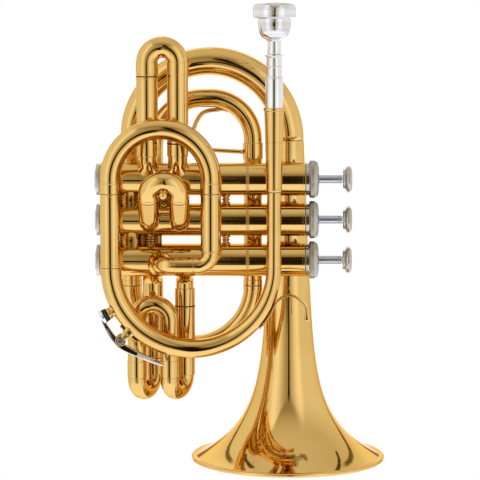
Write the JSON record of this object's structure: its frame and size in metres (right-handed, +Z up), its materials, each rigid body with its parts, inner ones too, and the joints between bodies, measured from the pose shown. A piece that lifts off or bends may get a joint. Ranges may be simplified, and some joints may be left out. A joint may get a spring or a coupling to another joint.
{
  "type": "pocket trumpet",
  "caption": "Pocket trumpet in lacquered brass with pressed valves, pull slides, a sprung water key, thumb ring, finger hook and removable mouthpiece, standing on its bell.",
  "frame": {"origin": "centre of the bounding box's base, on the floor plane that the bell's rim stands on", "axes": "+Z up from the bell's rim to the mouthpiece; +X towards the finger buttons; +Y away from the leadpipe side, towards the bell's coil"},
  "size_m": [0.1832, 0.124, 0.291],
  "materials": {
    "lacquered_brass": "clear gold lacquer over polished brass",
    "nickel_plate": "polished nickel plate",
    "silver_plate": "bright silver plate",
    "spring_steel": "oiled spring wire and screw steel",
    "guide_nylon": "moulded white plastic",
    "cork": "matt black pad"
  },
  "bodies": {
    "horn": {"mouthpiece_receiver": "lacquered_brass", "leadpipe": "lacquered_brass", "front_bow": "lacquered_brass", "tuning_tube_left": "lacquered_brass", "tuning_tube_right": "lacquered_brass", "third_valve_elbow": "lacquered_brass", "valve_casing_1": "lacquered_brass", "bottom_cap_1": "nickel_plate", "top_cap_1": "nickel_plate", "valve_guide_1": "guide_nylon", "valve_spring_1": "spring_steel", "valve_casing_2": "lacquered_brass", "bottom_cap_2": "nickel_plate", "top_cap_2": "nickel_plate", "valve_guide_2": "guide_nylon", "valve_spring_2": "spring_steel", "valve_casing_3": "lacquered_brass", "bottom_cap_3": "nickel_plate", "top_cap_3": "nickel_plate", "valve_guide_3": "guide_nylon", "valve_spring_3": "spring_steel", "valve_knuckle_12": "lacquered_brass", "valve_knuckle_23": "lacquered_brass", "casing_brace_12": "lacquered_brass", "casing_brace_23": "lacquered_brass", "first_slide_outer_tube": "lacquered_brass", "first_slide_inner_tube": "lacquered_brass", "second_slide_elbow_left": "lacquered_brass", "second_slide_elbow_right": "lacquered_brass", "third_slide_outer_tube": "lacquered_brass", "third_slide_inner_tube": "lacquered_brass", "inner_arch": "lacquered_brass", "rear_bow": "lacquered_brass", "bell_bow": "lacquered_brass", "bell": "lacquered_brass", "finger_hook": "lacquered_brass", "thumb_ring": "lacquered_brass", "leadpipe_brace": "lacquered_brass", "rear_brace": "lacquered_brass", "water_key_nipple": "lacquered_brass", "water_key_saddle": "lacquered_brass", "water_key_screw": "spring_steel", "water_key_spring": "spring_steel"},
    "valve_1": {"piston_1": "nickel_plate", "valve_stem_1": "nickel_plate", "finger_button_1": "nickel_plate"},
    "valve_2": {"piston_2": "nickel_plate", "valve_stem_2": "nickel_plate", "finger_button_2": "nickel_plate"},
    "valve_3": {"piston_3": "nickel_plate", "valve_stem_3": "nickel_plate", "finger_button_3": "nickel_plate"},
    "tuning_slide": {"tuning_slide": "lacquered_brass"},
    "first_slide": {"first_slide": "lacquered_brass"},
    "second_slide": {"second_slide": "lacquered_brass", "second_slide_knob": "lacquered_brass"},
    "third_slide": {"third_slide": "lacquered_brass"},
    "mouthpiece": {"mouthpiece": "silver_plate"},
    "water_key": {"water_key_lever": "silver_plate", "water_key_cork": "cork"}
  },
  "joints": [
    {"name": "valve_1_press", "type": "slide", "parent": "horn", "child": "valve_1", "axis": [-1, 0, 0], "range_m": [0, 0.014], "stiffness_N_per_m": 120, "springref_m": -0.012, "deforming": ["valve_spring_1"]},
    {"name": "valve_2_press", "type": "slide", "parent": "horn", "child": "valve_2", "axis": [-1, 0, 0], "range_m": [0, 0.014], "stiffness_N_per_m": 120, "springref_m": -0.012, "deforming": ["valve_spring_2"]},
    {"name": "valve_3_press", "type": "slide", "parent": "horn", "child": "valve_3", "axis": [-1, 0, 0], "range_m": [0, 0.014], "stiffness_N_per_m": 120, "springref_m": -0.012, "deforming": ["valve_spring_3"]},
    {"name": "tuning_slide_pull", "type": "slide", "parent": "horn", "child": "tuning_slide", "axis": [0, 0, 1], "range_m": [0, 0.025]},
    {"name": "first_slide_pull", "type": "slide", "parent": "horn", "child": "first_slide", "axis": [0, 0, 1], "range_m": [0, 0.02]},
    {"name": "second_slide_pull", "type": "slide", "parent": "horn", "child": "second_slide", "axis": [0, -0.5, 0.866], "range_m": [0, 0.006]},
    {"name": "third_slide_pull", "type": "slide", "parent": "horn", "child": "third_slide", "axis": [0, 0, -1], "range_m": [0, 0.02]},
    {"name": "mouthpiece_pull", "type": "slide", "parent": "horn", "child": "mouthpiece", "axis": [0, 0, 1], "range_m": [0, 0.026]},
    {"name": "water_key_turn", "type": "hinge", "parent": "horn", "child": "water_key", "pos_m": [-0.0748, -0.045, 0.0835], "axis": [0, -1, 0], "range_deg": [0, 10], "stiffness_Nm_per_rad": 0.05, "springref_deg": -28.65, "deforming": ["water_key_spring"]}
  ]
}
